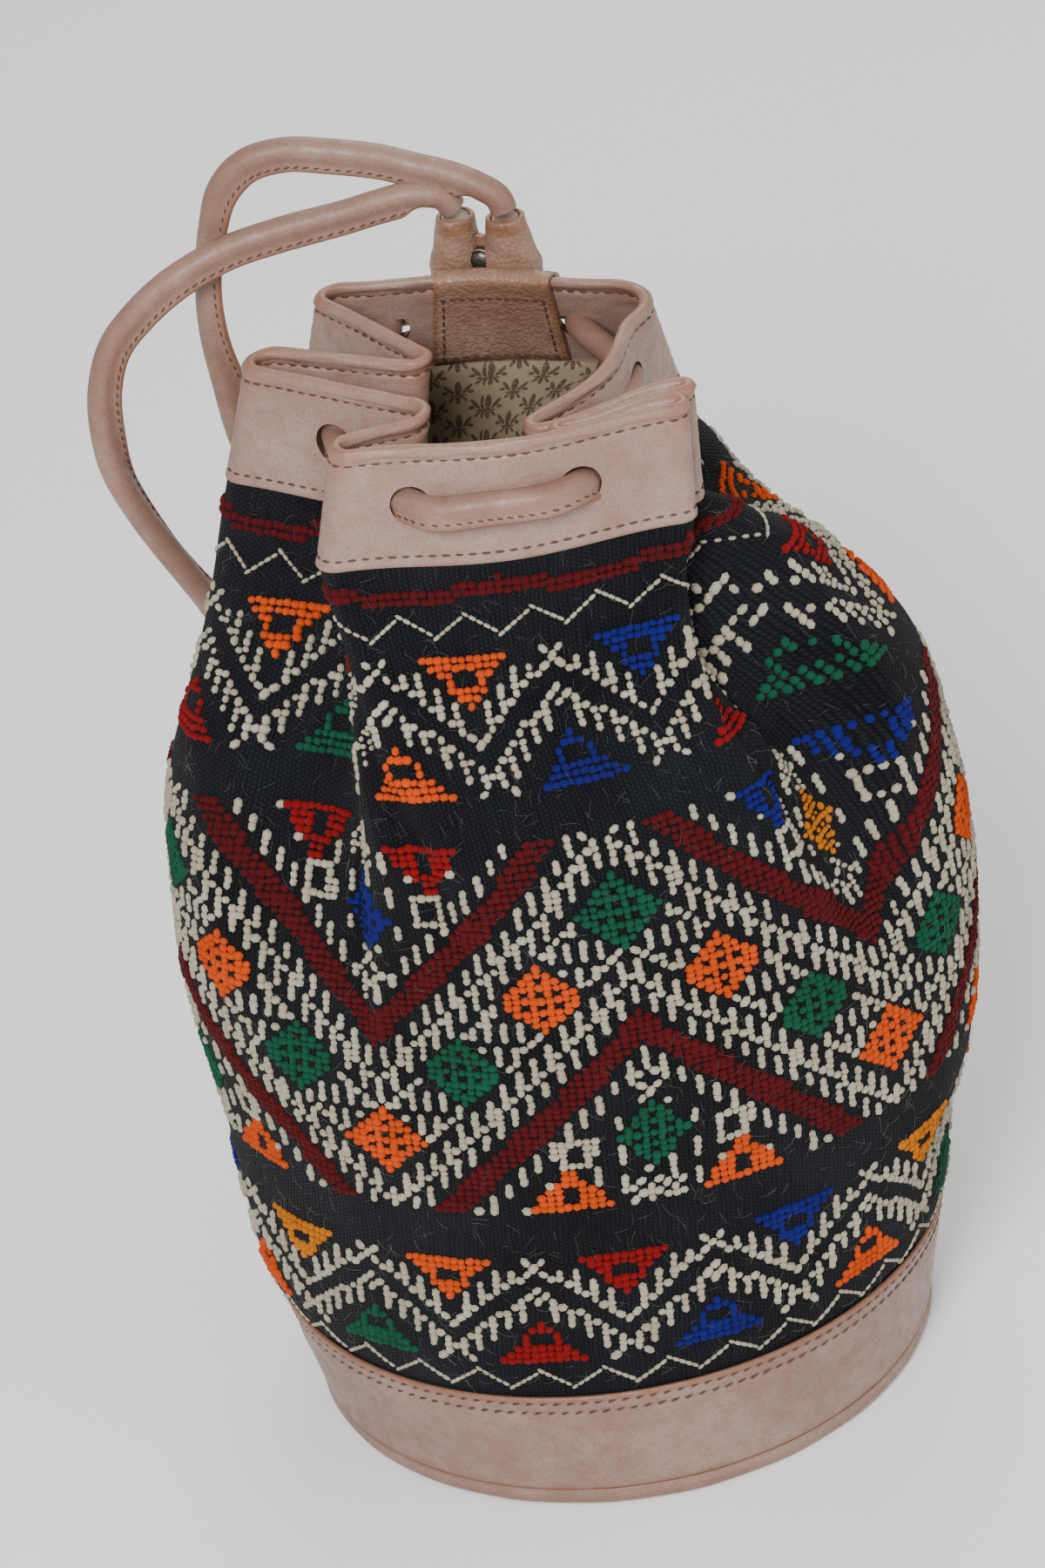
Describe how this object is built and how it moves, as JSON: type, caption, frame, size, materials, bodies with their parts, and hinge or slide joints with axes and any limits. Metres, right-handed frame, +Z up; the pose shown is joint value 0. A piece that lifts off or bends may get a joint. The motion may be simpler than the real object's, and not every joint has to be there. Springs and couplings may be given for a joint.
{
  "type": "kilim backpack",
  "caption": "Upright drawstring backpack: pleated patterned wool tube on a leather foot, leather collar with a round cord, two shoulder straps.",
  "frame": {"origin": "middle of the sole's flat underside, on the floor", "axes": "+Z up from the base to the mouth, -Y out of the front, +X to the right seen from the front"},
  "size_m": [0.3007, 0.2384, 0.4802],
  "materials": {
    "base_leather": "satin",
    "collar_leather": "satin",
    "cord_leather": "satin",
    "keeper_leather": "satin",
    "kilim_wool": "matte",
    "lining_cotton": "matte",
    "dark_metal": "satin"
  },
  "bodies": {
    "root": {"base_sole": "base_leather", "base_band": "base_leather", "kilim_body": "kilim_wool", "lining": "lining_cotton", "collar": "collar_leather", "drawcord": "cord_leather", "keeper": "keeper_leather", "keeper_rivet": "dark_metal", "strap_left": "cord_leather", "strap_right": "cord_leather", "strap_tab_left": "base_leather", "strap_tab_right": "base_leather"}
  },
  "joints": []
}
